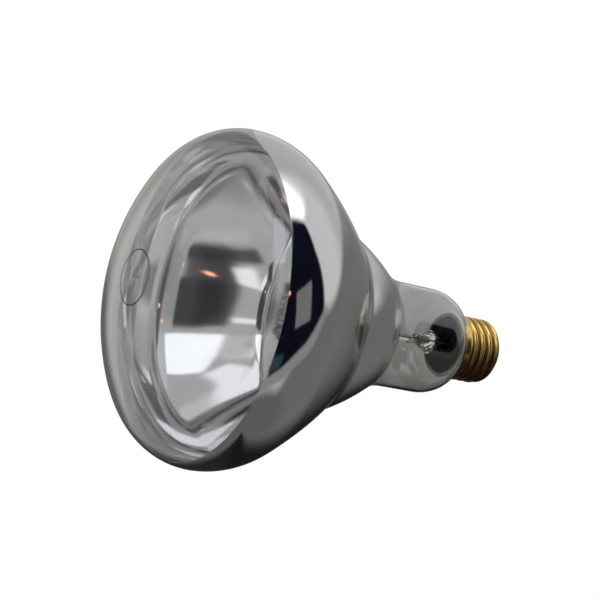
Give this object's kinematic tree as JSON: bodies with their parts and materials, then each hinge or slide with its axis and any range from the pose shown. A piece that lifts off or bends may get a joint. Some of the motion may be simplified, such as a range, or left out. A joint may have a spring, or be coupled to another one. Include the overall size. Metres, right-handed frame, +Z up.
{
  "type": "food warmer heat lamp bulb",
  "caption": "Reflector infrared heat lamp bulb with a clear domed face, a mirrored bell, a clear neck and a brass screw base.",
  "frame": {"origin": "middle of the domed glass face, the lowest point of the bulb as it hangs", "axes": "+Z up the bulb's axis, from the glass face to the centre contact of the screw base"},
  "size_m": [0.127, 0.127, 0.1671],
  "materials": {
    "bulb_glass": "polished",
    "mirror": "polished",
    "stem_glass": "polished",
    "shield_metal": "dark matt",
    "lead_metal": "satin",
    "copper_lead": "satin",
    "tungsten": "satin",
    "support_metal": "satin",
    "cement": "matt",
    "shell_brass": "polished",
    "black_glass": "gloss",
    "contact_brass": "satin",
    "solder": "satin"
  },
  "bodies": {
    "root": {"glass_bulb": "bulb_glass", "mirror_coating": "mirror", "glass_stem": "stem_glass", "heat_shield": "shield_metal", "inner_lead_a": "lead_metal", "inner_lead_b": "lead_metal", "outer_lead_centre": "copper_lead", "outer_lead_side": "copper_lead", "filament": "tungsten", "support_wire_1": "support_metal", "support_wire_2": "support_metal", "support_wire_3": "support_metal", "base_cement": "cement", "screw_shell": "shell_brass", "base_insulator": "black_glass", "centre_contact": "contact_brass", "contact_solder": "solder", "side_solder": "solder"}
  },
  "joints": []
}
